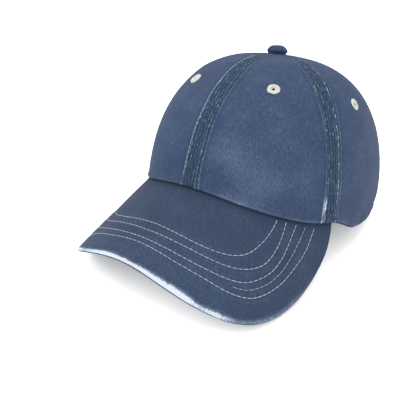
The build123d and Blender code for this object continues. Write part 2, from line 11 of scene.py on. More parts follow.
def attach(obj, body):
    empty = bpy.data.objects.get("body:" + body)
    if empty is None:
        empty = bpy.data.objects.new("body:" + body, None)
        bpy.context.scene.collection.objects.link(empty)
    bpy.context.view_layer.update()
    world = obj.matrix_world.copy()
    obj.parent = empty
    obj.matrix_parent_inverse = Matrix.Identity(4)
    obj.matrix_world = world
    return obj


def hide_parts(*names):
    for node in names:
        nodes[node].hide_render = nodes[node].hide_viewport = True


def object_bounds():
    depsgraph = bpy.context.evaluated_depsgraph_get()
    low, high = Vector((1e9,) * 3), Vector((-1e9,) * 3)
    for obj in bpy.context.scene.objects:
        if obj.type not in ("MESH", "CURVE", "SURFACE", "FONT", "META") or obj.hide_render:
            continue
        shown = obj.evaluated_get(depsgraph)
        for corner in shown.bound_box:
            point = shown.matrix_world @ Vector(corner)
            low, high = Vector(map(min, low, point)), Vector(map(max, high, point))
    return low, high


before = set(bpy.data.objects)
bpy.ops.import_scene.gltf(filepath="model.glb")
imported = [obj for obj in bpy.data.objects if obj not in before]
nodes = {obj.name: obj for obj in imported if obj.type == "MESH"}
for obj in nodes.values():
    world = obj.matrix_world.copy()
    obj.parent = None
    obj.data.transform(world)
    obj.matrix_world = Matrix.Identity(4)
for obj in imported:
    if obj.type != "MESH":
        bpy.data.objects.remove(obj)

cad_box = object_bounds()

# ---------------------------------------------------------------------------------------------
# Crown panels. Six gores of washed cotton denim, sewn edge to edge from the rim to the button.
# Each seam is pressed open and topstitched 6.6 mm out on both sides, which ridges the band.
# Worked in the crown's own frame: its axis is Z, the rim is Z = 0 and the front is -Y.
# ---------------------------------------------------------------------------------------------

FRONT_REACH = 0.096
BACK_REACH = 0.106
HALF_WIDTH = 0.084
CROWN_HEIGHT = 0.112
SQUARENESS = 2.2
RISE = {"front": (2.4, 2.4), "side": (2.5, 2.9), "back": (2.0, 1.7)}
SIDE_SEAM = radians(61)
BACK_SEAM = radians(122)
SEAMS = (0.0, SIDE_SEAM, BACK_SEAM, pi, -BACK_SEAM, -SIDE_SEAM)
DENIM = 0.0012
BAND = 0.0066
OFF_BAND = 9.0
# How far the thread beside each seam has been rubbed pale, on its two sides.
SEAM_BRIGHTNESS = {round(s, 3): (0.40, 0.40) for s in SEAMS + (-pi,)}
SEAM_BRIGHTNESS[0.0] = (1.0, 0.42)
SEAM_BRIGHTNESS[round(SIDE_SEAM, 3)] = (0.50, 0.85)
OPENING_HALF_WIDTH = 0.036
OPENING_HEIGHT = 0.050
LEAN = radians(8.3562)

VISOR_ROOT_HEIGHT = 0.0284
VISOR_ARCH_RADIUS = 0.094
VISOR_SLOPE = radians(28)
VISOR_CORNER = radians(63)


def taper(side, share):
    rise, shoulder = RISE[side]
    pinch = 1 - 0.03 * np.maximum(0, 1 - share / 0.25) ** 2
    return pinch * (1 - np.clip(share, 0, 1) ** rise) ** (1 / shoulder)


def crown_face(azimuth, height, inset=(0.0, 0.0, 0.0)):
    """Points on the crown's face, drawn in by inset at the front, side and back."""
    front, side, back = inset
    share = np.minimum(height / (CROWN_HEIGHT - min(inset)), 0.99999)
    forward, across = np.cos(azimuth), np.sin(azimuth)
    before = (FRONT_REACH - front) * taper("front", share)
    behind = (BACK_REACH - back) * taper("back", share)
    along = np.where(forward > 0, before, behind)
    half = (HALF_WIDTH - side) * taper("side", share)
    reach = (np.abs(forward / along) ** SQUARENESS + np.abs(across / half) ** SQUARENESS) ** (-1 / SQUARENESS)
    return np.stack([reach * across, -reach * forward, height + 0 * reach], -1)


def visor_height(x, y):
    drop = VISOR_ARCH_RADIUS - np.sqrt(np.maximum(VISOR_ARCH_RADIUS**2 - x**2, 1e-9))
    return VISOR_ROOT_HEIGHT - tan(VISOR_SLOPE) * (-FRONT_REACH - y) - drop / cos(VISOR_SLOPE)


def visor_joint(azimuth):
    """Height at which the visor's top meets the crown."""
    height = 0.02 + 0 * azimuth
    for _ in range(25):
        place = crown_face(azimuth, height)
        height = 0.5 * height + 0.5 * visor_height(place[..., 0], place[..., 1])
    return height


CORNER = crown_face(np.array(VISOR_CORNER), visor_joint(np.array(VISOR_CORNER)))


def rim_height(azimuth):
    """The crown's lower edge: on the visor in front, climbing to it at the sides, and flat behind."""
    turn = np.abs(azimuth)
    joint = visor_joint(np.minimum(turn, VISOR_CORNER))
    y = crown_face(turn, 0.004 + 0 * turn)[..., 1]
    share = np.clip(y / CORNER[1], 0, 1)
    side = CORNER[2] * (0.7 * share**2 * (3 - 2 * share) + 0.3 * share**2)
    return np.where(turn < VISOR_CORNER, joint, side)


def opening_edge(azimuth):
    """Height of the half-moon opening's edge at the back."""
    shoulder = OPENING_HEIGHT - OPENING_HALF_WIDTH
    height = 0.02 + 0 * azimuth
    for _ in range(12):
        x = crown_face(azimuth, height)[..., 0]
        height = shoulder + np.sqrt(np.maximum(OPENING_HALF_WIDTH**2 - x**2, 0))
    x = crown_face(azimuth, height)[..., 0]
    behind = (np.abs(azimuth) > pi / 2) & (np.abs(x) < OPENING_HALF_WIDTH)
    return np.where(behind, height, 0.0)


def ripple(points, size, seed):
    """Smooth unevenness between about -1 and 1, with bumps of this size."""
    rng = np.random.default_rng(seed)
    total = np.zeros(points.shape[:-1])
    for _ in range(14):
        way = rng.normal(size=3)
        way *= rng.uniform(0.6, 1.5) * 2 * pi / size / np.linalg.norm(way) / 2
        total += np.sin(points @ way + rng.uniform(0, 2 * pi))
    return total / 14**0.5 / 1.2


def bump(distance, width):
    return np.exp(-((distance / width) ** 2))


def narrowing(reach):
    """How much narrower a seam's band is near the button."""
    return 0.45 + 0.55 * np.clip((reach - 0.008) / 0.045, 0, 1)


def seam_distance(points, start, end):
    """Where each point of a panel lies across its nearer seam's band, whose edges are at -1 and 1,
    and how bright the row of stitching is on this side of that seam."""
    azimuth = np.arctan2(points[..., 0], -points[..., 1])
    reach = np.hypot(points[..., 0], points[..., 1])
    middle = (start + end) / 2
    azimuth = middle + (azimuth - middle + pi) % (2 * pi) - pi
    near_start = azimuth < middle
    seam = np.where(near_start, start, end)
    band = BAND * narrowing(reach) + 0.0009 * bump(points[..., 2] - rim_height(azimuth), 0.008)
    across = reach * np.sin(np.clip(azimuth - seam, -1.2, 1.2)) / band
    after, before = SEAM_BRIGHTNESS[round(start, 3)][1], SEAM_BRIGHTNESS[round(end, 3)][0]
    bright = np.where(near_start, after, before)
    return across, bright


def sway(points):
    """The crown's soft unevenness, which every layer sewn to it follows; taut behind, over the strap."""
    loose = np.clip(-points[:, 1] / 0.03, 0, 1)
    wave = 0.0006 * ripple(points, 0.050, 5) + 0.00018 * ripple(points, 0.016, 6)
    return np.maximum(wave, -0.00025 * loose)


def panel_relief(across, points, above_rim):
    """How far the sewn cloth stands off the plain crown, and how worn and how shaded it is there."""
    inside = 1 / (1 + np.exp((np.abs(across) - 1) / 0.06))
    groove = 0.00028 * np.clip(0.8 - points[:, 1] / 0.05, 0, 1)
    relief = sway(points) + 0.00035 * inside - groove * bump(np.abs(across) - 1.04, 0.11)
    relief += 0.0008 * bump(above_rim - 0.0030, 0.0026) - 0.0015 * bump(above_rim, 0.0009)
    wear = 0.15 * bump(above_rim - 0.0018, 0.0011) * (1 + 0.5 * ripple(points, 0.010, 7))
    shade = 0.14 * inside + 0.7 * bump(above_rim, 0.0009) + 0.05 * bump(np.abs(across) - 1.25, 0.2)
    return relief, wear, shade


def settle(points):
    """From the crown's frame to the cap as it stands on the table."""
    x, y, z = points[..., 0], points[..., 1], points[..., 2]
    return np.stack([x, y * cos(LEAN) + z * sin(LEAN), z * cos(LEAN) - y * sin(LEAN)], -1)


def cloth(name, rows, columns, place, thickness, offset=-1.0):
    """A sheet of cloth: a grid laid where place(u, v) says, thickened, with its UV maps and marks."""
    bm = bmesh.new()
    bmesh.ops.create_grid(bm, x_segments=columns, y_segments=rows, size=0.5, calc_uvs=False)
    mesh = bpy.data.meshes.new(name)
    bm.to_mesh(mesh)
    bm.free()
    flat = np.empty(len(mesh.vertices) * 3)
    mesh.vertices.foreach_get("co", flat)
    flat = flat.reshape(-1, 3) + 0.5
    points, weave, marks = place(flat[:, 0], flat[:, 1])
    mesh.vertices.foreach_set("co", settle(points).astype(np.float32).ravel())
    corners = np.empty(len(mesh.loops), np.int32)
    mesh.loops.foreach_get("vertex_index", corners)
    band = marks.get("band", np.full_like(weave, OFF_BAND))
    for map_name, spots in (("weave", weave), ("band", band)):
        layer = mesh.uv_layers.new(name=map_name)
        layer.data.foreach_set("uv", spots[corners].astype(np.float32).ravel())
    for mark in ("wear", "shade", "bright"):
        values = marks.get(mark, np.zeros(len(flat)))
        channel = mesh.attributes.new(mark, "FLOAT", "POINT")
        channel.data.foreach_set("value", np.clip(values, 0, 1).astype(np.float32))
    mesh.update()
    mesh.shade_smooth()
    piece = bpy.data.objects.new(name, mesh)
    bpy.context.collection.objects.link(piece)
    solid = piece.modifiers.new("Thickness", "SOLIDIFY")
    solid.thickness = thickness
    solid.offset = offset
    solid.use_even_offset = False
    return piece


def outward(place, azimuth, height, inset=(0.0, 0.0, 0.0)):
    """The crown's outward direction."""
    near_top = height > CROWN_HEIGHT * 0.97
    step = np.where(near_top, -1e-4, 1e-4)
    beside = crown_face(azimuth + 1e-3, height, inset) - place
    above = crown_face(azimuth, height + step, inset) - place
    above = np.where(near_top[..., None], -above, above)
    way = np.cross(beside, above)
    return way / np.maximum(np.linalg.norm(way, axis=-1, keepdims=True), 1e-12)


def climb(azimuth, share, low, inset=(0.0, 0.0, 0.0)):
    """Heights that divide the way from the edge to the top evenly, measured along the cloth."""
    heights = np.empty_like(azimuth)
    length = np.empty_like(azimuth)
    top = (CROWN_HEIGHT - min(inset)) * 0.99985
    for turn in np.unique(np.round(azimuth, 7)):
        column = np.abs(azimuth - turn) < 1e-6
        start = low[column][0]
        steps = start + (top - start) * np.sin(np.linspace(0, pi / 2, 400))
        line = crown_face(np.full(400, turn), steps, inset)
        run = np.concatenate([[0], np.cumsum(np.linalg.norm(np.diff(line, axis=0), axis=1))])
        heights[column] = np.interp(share[column] * run[-1], run, steps)
        length[column] = share[column] * run[-1]
    return heights, length


# Bright lines along a seam: measured from its middle or signed, where, how wide and how strong.
SEAM_LINES = (("far", 1.0, 0.085, 0.62), ("across", 0.55, 0.07, 0.75), ("far", 0.84, 0.06, 0.25))


def value(tree, kind, **inputs):
    """A node with its settings. An input is named with underscores, or by its number after an i."""
    node = tree.nodes.new(kind)
    for key, given in inputs.items():
        if hasattr(node, key):
            setattr(node, key, given)
            continue
        numbered = key[0] == "i" and key[1:].isdigit()
        socket = node.inputs[int(key[1:]) if numbered else key.replace("_", " ")]
        if isinstance(given, bpy.types.NodeSocket):
            tree.links.new(given, socket)
        else:
            socket.default_value = given
    return node


def arithmetic(tree, operation, first, second=0.0, third=0.0):
    return value(tree, "ShaderNodeMath", operation=operation, i0=first, i1=second, i2=third).outputs[0]


def attribute(tree, name):
    return value(tree, "ShaderNodeAttribute", attribute_name=name).outputs["Fac"]


def spread_over(tree, given, low, high, at_low, at_high):
    """A value moved from one range to another, and held at its ends."""
    return value(tree, "ShaderNodeMapRange", i0=given, i1=low, i2=high, i3=at_low, i4=at_high).outputs[0]


def mapped(tree, vector, scale, angle=0.0):
    turn = (0.0, 0.0, angle)
    return value(tree, "ShaderNodeMapping", Vector=vector, Scale=scale, Rotation=turn).outputs[0]


def grain(tree, vector, scale, detail=2.0, roughness=0.6):
    noise = value(tree, "ShaderNodeTexNoise", Vector=vector, Scale=scale, Detail=detail, Roughness=roughness)
    return noise.outputs["Fac"]


def ridge_line(tree, across, place, width):
    """A soft bright line where across equals place."""
    gap = arithmetic(tree, "ABSOLUTE", arithmetic(tree, "SUBTRACT", across, place))
    return spread_over(tree, gap, 0.0, width, 1.0, 0.0)


def streaked(tree, across, along, finer, coarser):
    """A vector that makes noise fine across a seam and long beside it."""
    first = arithmetic(tree, "MULTIPLY", across, finer)
    second = arithmetic(tree, "MULTIPLY", along, coarser)
    return value(tree, "ShaderNodeCombineXYZ", i0=first, i1=second).outputs[0]


def seam_band(tree):
    """The ridges, worn flecks and dark hollows of a felled seam: where it is, its ridges, its tone."""
    band = value(tree, "ShaderNodeUVMap", uv_map="band").outputs[0]
    parts = value(tree, "ShaderNodeSeparateXYZ", Vector=band)
    across, along = parts.outputs[0], parts.outputs[1]
    far = arithmetic(tree, "ABSOLUTE", across)
    inside = spread_over(tree, far, 0.93, 1.02, 1.0, 0.0)
    drift = grain(tree, streaked(tree, across, along, 1.6, 70.0), 1.0)
    bent = arithmetic(tree, "MULTIPLY_ADD", drift, 0.34, across)
    ridges = arithmetic(tree, "SINE", arithmetic(tree, "MULTIPLY", bent, 18.0))
    crest = arithmetic(tree, "MULTIPLY_ADD", ridges, 0.5, 0.5)
    streak = streaked(tree, across, along, 9.0, 330.0)
    flecks = spread_over(tree, grain(tree, streak, 1.0, 3.0), 0.45, 0.70, 0.0, 1.0)
    raised = arithmetic(tree, "MULTIPLY", arithmetic(tree, "MULTIPLY_ADD", crest, 0.6, 0.4), flecks)
    rubbed = arithmetic(tree, "MULTIPLY", raised, 0.58)
    valley = arithmetic(tree, "MULTIPLY", arithmetic(tree, "SUBTRACT", 1.0, crest), 0.20)
    pockets = spread_over(tree, grain(tree, streak, 0.35, 3.0, 0.7), 0.3, 0.7, -0.16, 0.16)
    inner = arithmetic(tree, "ADD", arithmetic(tree, "SUBTRACT", rubbed, valley), pockets)
    change = arithmetic(tree, "MULTIPLY", inner, inside)
    broken = spread_over(tree, grain(tree, streak, 0.6, 2.0), 0.36, 0.62, 0.25, 1.0)
    bright = attribute(tree, "bright")
    for distance, place, width, strength in SEAM_LINES:
        crossed = far if distance == "far" else across
        pale = arithmetic(tree, "MULTIPLY", bright, strength)
        line = arithmetic(tree, "MULTIPLY", ridge_line(tree, crossed, place, width), pale)
        change = arithmetic(tree, "MULTIPLY_ADD", line, broken, change)
    return inside, ridges, change


def new_material(name):
    material = bpy.data.materials.new(name)
    material.use_nodes = True
    return material, material.node_tree, material.node_tree.nodes["Principled BSDF"]


def denim_finish(name, colours, light=0.5, speckle=0.42, speckle_size=1000.0, seams=False):
    """Indigo warp over white weft: fine slubs and a diagonal twill, worn pale in places. With seams,
    also the ridged band that a felled seam makes, from the cloth's own distance across the seam."""
    material, tree, shader = new_material(name)
    where = value(tree, "ShaderNodeTexCoord").outputs["Object"]
    weave = value(tree, "ShaderNodeUVMap", uv_map="weave").outputs[0]
    clouds = grain(tree, where, 45.0, 3.0)
    specks = grain(tree, where, speckle_size, 4.0, 0.7)
    slub = grain(tree, mapped(tree, weave, (1900.0, 230.0, 1.0)), 1.0)
    slant = mapped(tree, weave, (1.0, 1.0, 1.0), radians(32))
    wave = value(tree, "ShaderNodeTexWave", Vector=slant, Scale=480.0, Distortion=1.5, Detail=1.0)
    twill = wave.outputs["Fac"]
    tone = light
    for pattern, strength in ((clouds, 0.22), (specks, speckle), (slub, 0.34), (twill, 0.05)):
        base = arithmetic(tree, "SUBTRACT", tone, strength / 2)
        tone = arithmetic(tree, "MULTIPLY_ADD", pattern, strength, base)
    tone = arithmetic(tree, "ADD", tone, attribute(tree, "wear"))
    tone = arithmetic(tree, "SUBTRACT", tone, attribute(tree, "shade"))
    height = arithmetic(tree, "MULTIPLY_ADD", slub, 0.8, arithmetic(tree, "MULTIPLY", twill, 0.5))
    if seams:
        inside, ridges, change = seam_band(tree)
        tone = arithmetic(tree, "ADD", tone, change)
        height = arithmetic(tree, "MULTIPLY_ADD", arithmetic(tree, "MULTIPLY", ridges, inside), 1.1, height)
    ramp = tree.nodes.new("ShaderNodeValToRGB")
    stops = ramp.color_ramp.elements
    stops[0].position, stops[1].position = 0.10, 1.0
    stops[0].color, stops[1].color = (*colours["deep"], 1.0), (*colours["worn"], 1.0)
    for place, shade in ((0.5, "mid"), (0.8, "pale")):
        stops.new(place).color = (*colours[shade], 1.0)
    tree.links.new(tone, ramp.inputs[0])
    colour = ramp.outputs[0]
    if seams:
        tint = value(tree, "ShaderNodeMix", data_type="RGBA", blend_type="MULTIPLY", i0=inside, i6=colour)
        tint.inputs[7].default_value = (0.92, 1.0, 0.94, 1.0)
        colour = tint.outputs[2]
    tree.links.new(colour, shader.inputs["Base Color"])
    raised = value(tree, "ShaderNodeBump", Strength=0.6, Distance=0.00024, Height=height).outputs[0]
    tree.links.new(raised, shader.inputs["Normal"])
    shader.inputs["Roughness"].default_value = 0.88
    shader.inputs["Specular IOR Level"].default_value = 0.11
    shader.inputs["Sheen Weight"].default_value = 0.02
    shader.inputs["Sheen Roughness"].default_value = 0.45
    return material


INDIGO = {
    "deep": (0.010, 0.019, 0.042),
    "mid": (0.026, 0.043, 0.086),
    "pale": (0.085, 0.120, 0.185),
    "worn": (0.40, 0.45, 0.51),
}
crown_denim = denim_finish("crown_denim", INDIGO, seams=True)

PANELS = {
    "panel_front_left": (0.0, SIDE_SEAM, (0.100, 0.150), 0.0099),
    "panel_side_left": (SIDE_SEAM, BACK_SEAM, (0.098, 0.155), 0.0106),
    "panel_back_left": (BACK_SEAM, pi, (0.098, 0.155), 0.0097),
    "panel_front_right": (-SIDE_SEAM, 0.0, (0.100, 0.150), 0.0099),
    "panel_side_right": (-BACK_SEAM, -SIDE_SEAM, (0.098, 0.155), 0.0106),
    "panel_back_right": (-pi, -BACK_SEAM, (0.098, 0.155), 0.0097),
}
crown_pieces = {}
for node, (start, end, cut, area) in PANELS.items():

    def place_panel(u, v, start=start, end=end):
        azimuth = start + (end - start) * u
        low = np.maximum(rim_height(azimuth), opening_edge(azimuth))
        height, run = climb(azimuth, v, low)
        points = crown_face(azimuth, height)
        across, bright = seam_distance(points, start, end)
        bound = (low > 0.013) & (np.abs(azimuth) > pi / 2)
        relief, wear, shade = panel_relief(across, points, run + 0.02 * bound)
        relief = relief * np.clip(np.hypot(points[:, 0], points[:, 1]) / 0.006, 0, 1)
        cloudy = bump(azimuth - radians(27), radians(20)) * bump(height - 0.042, 0.026)
        wear = wear + 0.065 * cloudy * (1 + 0.9 * ripple(points, 0.018, 9))
        rubbed = bump(azimuth - SIDE_SEAM, radians(8)) * bump(across + 0.93, 0.17) * bump(run - 0.009, 0.013)
        wear = wear + 0.75 * rubbed * (1 + 0.5 * ripple(points, 0.008, 12))
        along = 1.2 * height - 0.55 * np.hypot(points[:, 0], points[:, 1])
        weave = np.stack([(u - 0.5) * 0.088 * (1 - 0.6 * height / CROWN_HEIGHT), along], -1)
        marks = {"wear": wear, "shade": shade, "bright": bright, "band": np.stack([across, along], -1)}
        return points + outward(points, azimuth, height) * relief[:, None], weave, marks

    panel = cloth(node.replace("panel", "denim_panel"), 190, 120, place_panel, DENIM)
    panel.data.materials.append(crown_denim)
    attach(panel, "crown")
    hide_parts(node)
    crown_pieces[node] = panel

# ---------------------------------------------------------------------------------------------
# Eyelets. Holes punched through the panels and overcast with off-white thread, laid so close
# that each ring is a raised collar of radial stitches, the same on the inside.
# ---------------------------------------------------------------------------------------------

EYELETS = {"front": (30.0, 0.835), "side": (86.0, 0.76), "back": (150.0, 0.80)}
EYELET_RADIUS = 0.0042
EYELET_BORE = 0.0008
EYELET_STITCHES = 44
PANEL_HOLE = 0.0022
NET_HOLE = 0.0057
# Half the section of an eyelet's ring: distance from its axis and height above the cloth.
EYELET_SECTION = [
    (EYELET_BORE, -0.0007),
    (EYELET_BORE + 0.0001, 0.0),
    (0.0014, 0.0006),
    (0.0023, 0.0009),
    (0.0032, 0.0008),
    (0.0039, 0.0004),
    (EYELET_RADIUS, -0.0002),
    (EYELET_RADIUS, -0.0016),
    (0.0036, -0.0023),
    (0.0024, -0.0025),
    (0.0014, -0.0022),
    (EYELET_BORE, -0.0016),
]


def plain_finish(
    name, colour, roughness, metallic=0.0, bumps=0.0, grain_size=900.0, spread=0.12, sheen=0.0
):
    """One material with uneven colour and a fine grain, for thread, tape, card and metal."""
    material, tree, shader = new_material(name)
    where = value(tree, "ShaderNodeTexCoord").outputs["Object"]
    noise = grain(tree, where, grain_size, 4.0)
    ramp = tree.nodes.new("ShaderNodeValToRGB")
    dark, light = ramp.color_ramp.elements
    dark.color = (*[c * (1 - 2 * spread) for c in colour], 1.0)
    light.color = (*[min(1.0, c * (1 + 2 * spread)) for c in colour], 1.0)
    dark.position, light.position = 0.3, 0.7
    tree.links.new(noise, ramp.inputs[0])
    tree.links.new(ramp.outputs[0], shader.inputs["Base Color"])
    if bumps:
        raised = value(tree, "ShaderNodeBump", Strength=0.6, Distance=bumps, Height=noise).outputs[0]
        tree.links.new(raised, shader.inputs["Normal"])
    shader.inputs["Roughness"].default_value = roughness
    shader.inputs["Metallic"].default_value = metallic
    shader.inputs["Specular IOR Level"].default_value = 0.3
    shader.inputs["Sheen Weight"].default_value = sheen
    return material


OFF_WHITE = (0.50, 0.49, 0.445)
eyelet_thread = plain_finish("eyelet_thread", OFF_WHITE, 0.75, bumps=0.0001, grain_size=2500.0, spread=0.10)
# Painted shade: the bore's wall is coloured near-black to stand for the dark inside of the cap seen through
# the hole.
eyelet_bore_painted_shade = plain_finish("eyelet_bore_painted_shade", (0.035, 0.030, 0.028), 0.9)


def finished_mesh(name, bm, material, smooth=True):
    bmesh.ops.recalc_face_normals(bm, faces=bm.faces)
    mesh = bpy.data.meshes.new(name)
    bm.to_mesh(mesh)
    bm.free()
    if smooth:
        mesh.shade_smooth()
    mesh.materials.append(material)
    piece = bpy.data.objects.new(name, mesh)
    bpy.context.collection.objects.link(piece)
    return piece


def punch_hole(piece, place, radius):
    """A round hole through a thickened piece of cloth."""
    cutter = bmesh.new()
    size = {"radius1": radius, "radius2": radius, "depth": 0.012}
    bmesh.ops.create_cone(cutter, cap_ends=True, segments=40, matrix=place, **size)
    tool = finished_mesh("hole_tool", cutter, eyelet_thread, smooth=False)
    hole = piece.modifiers.new("Hole", "BOOLEAN")
    hole.object = tool
    hole.solver = "FAST"
    bpy.context.view_layer.objects.active = piece
    with bpy.context.temp_override(object=piece, active_object=piece):
        for modifier in ("Thickness", "Hole"):
            bpy.ops.object.modifier_apply(modifier=modifier)
    bpy.data.objects.remove(tool)


def lathe(bm, steps, merge):
    """Spins an outline a full turn round Z."""
    geom = bm.verts[:] + bm.edges[:]
    axis = {"cent": (0, 0, 0), "axis": (0, 0, 1), "angle": 2 * pi}
    bmesh.ops.spin(bm, geom=geom, steps=steps, use_merge=True, **axis)
    bmesh.ops.remove_doubles(bm, verts=bm.verts, dist=merge)


def polar(vertex):
    return np.arctan2(vertex.co.y, vertex.co.x), np.hypot(vertex.co.x, vertex.co.y)


def eyelet_ring(seed):
    """A ring of close radial stitches, lying in the XY plane."""
    ring = bmesh.new()
    spots = [ring.verts.new((reach, 0, lift)) for reach, lift in EYELET_SECTION]
    for first, second in zip(spots, spots[1:] + spots[:1]):
        ring.edges.new((first, second))
    lathe(ring, 3 * EYELET_STITCHES, 1e-6)
    wobble = np.random.default_rng(seed).normal(0, 1, EYELET_STITCHES)
    for vertex in ring.verts:
        angle, reach = polar(vertex)
        thread = cos(EYELET_STITCHES * angle)
        loose = wobble[int((angle + pi) / (2 * pi) * EYELET_STITCHES) % EYELET_STITCHES]
        if reach > 0.0013:
            vertex.co.z += 0.00016 * thread * (1 if vertex.co.z > -0.001 else -1)
        if reach > 0.0036:
            grow = 1 + (0.00012 * thread + 0.00012 * loose) / reach
            vertex.co.x *= grow
            vertex.co.y *= grow
    return ring


EYELET_PLACES = {}
for row, (turn, share) in EYELETS.items():
    for side, sign in (("left", 1), ("right", -1)):
        azimuth, height = np.array([sign * radians(turn)]), np.array([share * CROWN_HEIGHT])
        centre = crown_face(azimuth, height)
        axis = Vector(settle(outward(centre, azimuth, height))[0])
        centre = Vector(settle(centre)[0])
        way = Vector((0, 0, 1)).rotation_difference(axis).to_matrix().to_4x4()
        EYELET_PLACES[row, side] = Matrix.Translation(centre) @ way
        ring = eyelet_ring(int(turn) * 10 + sign + 1)
        bmesh.ops.transform(ring, matrix=EYELET_PLACES[row, side], verts=ring.verts)
        for face in ring.faces:
            reach = max((vertex.co - centre).cross(axis).length for vertex in face.verts)
            # Faces round the bore take the second material, the painted shade of the hole.
            face.material_index = int(reach < 0.00135)
        eyelet = finished_mesh(f"thread_eyelet_{row}_{side}", ring, eyelet_thread)
        eyelet.data.materials.append(eyelet_bore_painted_shade)
        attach(eyelet, "crown")
        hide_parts(f"eyelet_{row}_{side}")
        punch_hole(crown_pieces[f"panel_{row}_{side}"], EYELET_PLACES[row, side], PANEL_HOLE)

# ---------------------------------------------------------------------------------------------
# Button. A pressed steel cap covered in the crown's denim, gathered underneath, with a shank
# through the top of the crown that clinches on a steel washer inside.
# ---------------------------------------------------------------------------------------------

BUTTON_RADIUS = 0.0077
BUTTON_HEIGHT = 0.0066
# Half the section of the button's cloth: distance from its axis and height above the crown.
BUTTON_SECTION = [
    (0.0, BUTTON_HEIGHT),
    (0.0022, BUTTON_HEIGHT),
    (0.0040, 0.0063),
    (0.0056, 0.0055),
    (0.0070, 0.0042),
    (BUTTON_RADIUS, 0.0032),
    (BUTTON_RADIUS, 0.0026),
    (0.0071, 0.0016),
    (0.0065, 0.0007),
    (0.0063, 0.0000),
    (0.0062, -0.0002),
]
BRASS_BROWN, STEEL_GREY = (0.33, 0.30, 0.24), (0.55, 0.55, 0.55)
button_denim = denim_finish("button_denim", INDIGO, light=0.47)
antique_metal = plain_finish("antique_metal", BRASS_BROWN, 0.34, metallic=1.0, grain_size=160.0, spread=0.10)
steel = plain_finish("pressed_steel", STEEL_GREY, 0.35, metallic=1.0, bumps=0.00003, spread=0.08)
cover = bmesh.new()
line = [cover.verts.new((reach, 0, CROWN_HEIGHT + lift)) for reach, lift in BUTTON_SECTION]
for first, second in zip(line, line[1:]):
    cover.edges.new((first, second))
bmesh.ops.subdivide_edges(cover, edges=cover.edges, cuts=2, smooth=0.6)
lathe(cover, 96, 1e-5)
for vertex in cover.verts:
    angle, reach = polar(vertex)
    lift = vertex.co.z - CROWN_HEIGHT
    gather = 0.00018 * (sin(13 * angle) + 0.6 * sin(22 * angle + 1)) * max(0.0, 1 - lift / 0.0042)
    facet = abs(sin(3.5 * angle + 0.9)) ** 1.5 * min(1.0, reach / 0.006) * min(1.0, lift / 0.002)
    gather -= 0.00055 * facet
    if reach > 1e-5:
        vertex.co.x *= 1 + gather / reach
        vertex.co.y *= 1 + gather / reach
    dimple = sin(520 * vertex.co.x + 1) * sin(430 * vertex.co.y)
    vertex.co.z += 0.00020 * dimple * min(1.0, max(0.0, lift) / 0.004)
weave_map = cover.loops.layers.uv.new("weave")
for face in cover.faces:
    for loop in face.loops:
        loop[weave_map].uv = (loop.vert.co.x, loop.vert.co.y + loop.vert.co.z)
bmesh.ops.transform(cover, matrix=Matrix.Rotation(-LEAN, 4, "X"), verts=cover.verts)
button = finished_mesh("button_denim_cover", cover, button_denim)
solid = button.modifiers.new("Thickness", "SOLIDIFY")
solid.thickness = 0.0007
solid.offset = -1
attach(button, "crown")
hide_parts("button_cover")


def refinish(names, material):
    """Gives the carried-over pieces their material."""
    for name in names:
        nodes[name].data.materials.clear()
        nodes[name].data.materials.append(material)


refinish(("button_cap", "button_washer"), steel)

# ---------------------------------------------------------------------------------------------
# Visor covers. Two pieces of denim over a bent plastic board, turned in and sewn round its
# edge. The fold along the front has rubbed through to the white of the cloth.
# ---------------------------------------------------------------------------------------------

VISOR_LENGTH = 0.0565
VISOR_HALF_WIDTH = 0.0835
VISOR_WIDEST = -0.0510
VISOR_SIDE_SQUARENESS = 3.0
VISOR_FRONT_SQUARENESS = 3.3
VISOR_LEAVING = np.array([0.50, -0.87])
VISOR_THICK = 0.0030
VISOR_CLOTH = 0.0007
CURL_SHARE = 0.12
CURL_TURN = radians(84)


def bend(share, start, leaving, end, arriving):
    """A smooth curve from start to end that leaves and arrives along the ways given."""
    s2, s3 = share**2, share**3
    curve = (2 * s3 - 3 * s2 + 1) * start + (s3 - 2 * s2 + share) * leaving
    return curve + (3 * s2 - 2 * s3) * end + (s3 - s2) * arriving


def visor_outline():
    """The visor's edge in plan, from its root on the wearer's right round the front to the left."""
    length = VISOR_LENGTH + FRONT_REACH + VISOR_WIDEST
    steps = [np.linspace(6, 60, 60), np.linspace(61, 84, 50), np.linspace(84.5, 90, 40)]
    turn = np.radians(np.concatenate(steps))
    x = VISOR_HALF_WIDTH * np.cos(turn) ** (2 / VISOR_SIDE_SQUARENESS)
    y = VISOR_WIDEST - length * np.sin(turn) ** (2 / VISOR_FRONT_SQUARENESS)
    root, first = CORNER[:2], np.array([x[0], y[0]])
    gap = np.linalg.norm(first - root)
    way = np.array([x[1] - x[0], y[1] - y[0]])
    way *= gap / np.linalg.norm(way)
    lead = bend(np.linspace(0, 1, 40)[:-1, None], root, VISOR_LEAVING * gap, first, way)
    half_line = np.concatenate([lead, np.stack([x, y], -1)])
    mirrored = half_line * [-1, 1]
    return np.concatenate([mirrored, half_line[::-1][1:]])


def run_along(line):
    return np.concatenate([[0], np.cumsum(np.linalg.norm(np.diff(line, axis=0), axis=1))])


def on_visor(plan, depth=0.0):
    """Points on the visor's top, and the direction out of it."""
    x, y = plan[..., 0], plan[..., 1]
    steep = -x / np.sqrt(np.maximum(VISOR_ARCH_RADIUS**2 - x**2, 1e-9)) / cos(VISOR_SLOPE)
    way = np.stack([-steep, 0 * x - tan(VISOR_SLOPE), 0 * x + 1], -1)
    way /= np.linalg.norm(way, axis=-1, keepdims=True)
    points = np.stack([x, y, visor_height(x, y)], -1)
    return points - way * np.expand_dims(depth + 0 * x, -1), way


EDGE = visor_outline()
EDGE_POINTS, EDGE_UP = on_visor(EDGE)
EDGE_RUN = run_along(EDGE_POINTS)
EDGE_OUT = np.cross(EDGE_UP, np.gradient(EDGE_POINTS, axis=0))
EDGE_OUT /= np.linalg.norm(EDGE_OUT, axis=1, keepdims=True)
if EDGE_OUT[len(EDGE) // 2][1] > 0:
    EDGE_OUT = -EDGE_OUT


